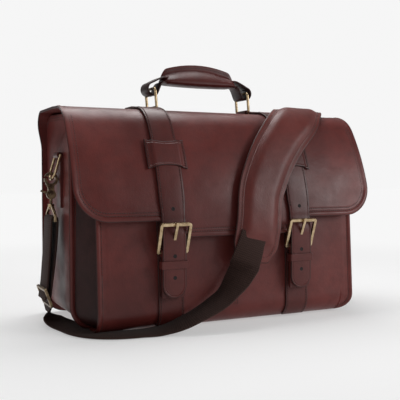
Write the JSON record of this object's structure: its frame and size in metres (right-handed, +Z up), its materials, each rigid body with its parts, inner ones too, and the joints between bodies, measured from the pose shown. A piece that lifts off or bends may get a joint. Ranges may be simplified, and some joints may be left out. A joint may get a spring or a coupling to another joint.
{
  "type": "leather briefcase",
  "caption": "Soft leather briefcase with a full front flap, buckled straps, a ring-mounted grip handle and a padded shoulder strap on snap hooks.",
  "frame": {"origin": "on the floor under the middle of the body", "axes": "+X to the right seen from the front, the front faces -Y, +Z up"},
  "size_m": [0.4757, 0.2257, 0.348],
  "materials": {
    "body_leather": "smooth oxblood brown leather, soft satin",
    "strap_leather": "smooth oxblood brown leather, stitched, soft satin",
    "pad_leather": "padded smooth leather with piped edges",
    "lining": "brown twill lining",
    "board": "stiff covered board",
    "webbing": "dark brown woven webbing",
    "brass": "satin antique brass"
  },
  "bodies": {
    "root": {"back_panel": "body_leather", "divider_panel": "body_leather", "main_gusset_left": "body_leather", "main_gusset_right": "body_leather", "main_gusset_base": "body_leather", "front_panel": "body_leather", "front_gusset_left": "body_leather", "front_gusset_right": "body_leather", "base_board": "board", "laptop_sleeve": "lining", "inner_pocket": "lining", "organizer_pocket": "lining", "pen_loops": "lining", "shoulder_pad_rear": "pad_leather", "strap_front": "webbing", "strap_end_left": "webbing", "strap_slider": "brass", "strap_right": "webbing", "rear_strap_left": "strap_leather", "front_strip_left": "strap_leather", "clasp_seat_left": "brass", "ring_tab_left": "strap_leather", "side_tab_left": "strap_leather", "swivel_eye_left": "brass", "rear_strap_right": "strap_leather", "front_strip_right": "strap_leather", "clasp_seat_right": "brass", "ring_tab_right": "strap_leather", "side_tab_right": "strap_leather", "swivel_eye_right": "brass"},
    "flap": {"flap_panel": "body_leather", "shoulder_pad": "pad_leather", "flap_strap_left": "strap_leather", "strap_patch_left": "strap_leather", "flap_strap_right": "strap_leather", "strap_patch_right": "strap_leather"},
    "tail_left": {"strap_tail_left": "strap_leather", "buckle_chape_left": "strap_leather", "strap_keeper_left": "strap_leather", "clasp_tongue_left": "brass"},
    "buckle_left": {"buckle_frame_left": "brass"},
    "prong_left": {"buckle_prong_left": "brass"},
    "ring_left": {"handle_ring_left": "brass"},
    "dring_left": {"side_dring_left": "brass"},
    "hook_left": {"snap_hook_left": "brass"},
    "gate_left": {"hook_gate_left": "brass"},
    "tail_right": {"strap_tail_right": "strap_leather", "buckle_chape_right": "strap_leather", "strap_keeper_right": "strap_leather", "clasp_tongue_right": "brass"},
    "buckle_right": {"buckle_frame_right": "brass"},
    "prong_right": {"buckle_prong_right": "brass"},
    "ring_right": {"handle_ring_right": "brass"},
    "dring_right": {"side_dring_right": "brass"},
    "hook_right": {"snap_hook_right": "brass"},
    "gate_right": {"hook_gate_right": "brass"},
    "handle": {"handle_grip": "strap_leather", "handle_fin": "strap_leather", "handle_loop_left": "strap_leather", "handle_loop_right": "strap_leather"}
  },
  "joints": [
    {"name": "flap_hinge", "type": "hinge", "parent": "root", "child": "flap", "pos_m": [0, -0.009, 0.282], "axis": [-1, 0, 0], "range_deg": [0, 115]},
    {"name": "tail_lift_left", "type": "hinge", "parent": "flap", "child": "tail_left", "pos_m": [-0.0923, -0.09813, 0.14145], "axis": [-1, 0, 0], "range_deg": [0, 60]},
    {"name": "buckle_turn_left", "type": "hinge", "parent": "tail_left", "child": "buckle_left", "pos_m": [-0.0923, -0.09352, 0.097], "axis": [1, 0, 0], "range_deg": [0, 12]},
    {"name": "prong_turn_left", "type": "hinge", "parent": "buckle_left", "child": "prong_left", "pos_m": [-0.0923, -0.09352, 0.097], "axis": [1, 0, 0], "range_deg": [0, 25]},
    {"name": "tail_lift_right", "type": "hinge", "parent": "flap", "child": "tail_right", "pos_m": [0.0923, -0.09813, 0.14145], "axis": [-1, 0, 0], "range_deg": [0, 60]},
    {"name": "buckle_turn_right", "type": "hinge", "parent": "tail_right", "child": "buckle_right", "pos_m": [0.0923, -0.09352, 0.097], "axis": [1, 0, 0], "range_deg": [0, 12]},
    {"name": "prong_turn_right", "type": "hinge", "parent": "buckle_right", "child": "prong_right", "pos_m": [0.0923, -0.09352, 0.097], "axis": [1, 0, 0], "range_deg": [0, 25]},
    {"name": "ring_sway_left", "type": "hinge", "parent": "root", "child": "ring_left", "pos_m": [-0.072, 0.0225, 0.2816], "axis": [0, 1, 0], "range_deg": [-28, 38]},
    {"name": "ring_sway_right", "type": "hinge", "parent": "root", "child": "ring_right", "pos_m": [0.072, 0.0225, 0.2816], "axis": [0, 1, 0], "range_deg": [-28, 38]},
    {"name": "handle_level", "type": "hinge", "parent": "ring_left", "child": "handle", "pos_m": [-0.07448, 0.0225, 0.30999], "axis": [0, 1, 0], "range_deg": [-38, 28]},
    {"name": "dring_swing_left", "type": "hinge", "parent": "root", "child": "dring_left", "pos_m": [-0.2073, 0.01, 0.217], "axis": [0, 1, 0], "range_deg": [-3, 2]},
    {"name": "hook_swivel_left", "type": "hinge", "parent": "root", "child": "hook_left", "pos_m": [-0.21666, 0.01, 0.1549], "axis": [0, 0, 1], "range_deg": [-12, 12]},
    {"name": "gate_press_left", "type": "hinge", "parent": "hook_left", "child": "gate_left", "pos_m": [-0.21666, 0.01, 0.1669], "axis": [0, 1, 0], "range_deg": [0, 6], "stiffness_Nm_per_rad": 0.02},
    {"name": "dring_swing_right", "type": "hinge", "parent": "root", "child": "dring_right", "pos_m": [0.2073, 0.01, 0.217], "axis": [0, -1, 0], "range_deg": [-3, 2]},
    {"name": "hook_swivel_right", "type": "hinge", "parent": "root", "child": "hook_right", "pos_m": [0.21666, 0.01, 0.1549], "axis": [0, 0, 1], "range_deg": [-12, 12]},
    {"name": "gate_press_right", "type": "hinge", "parent": "hook_right", "child": "gate_right", "pos_m": [0.21666, 0.01, 0.1669], "axis": [0, -1, 0], "range_deg": [0, 6], "stiffness_Nm_per_rad": 0.02}
  ],
  "couplings": [
    {"joint": "handle_level", "follows": "ring_sway_left", "ratio": -1},
    {"joint": "ring_sway_right", "follows": "ring_sway_left", "ratio": 1}
  ]
}
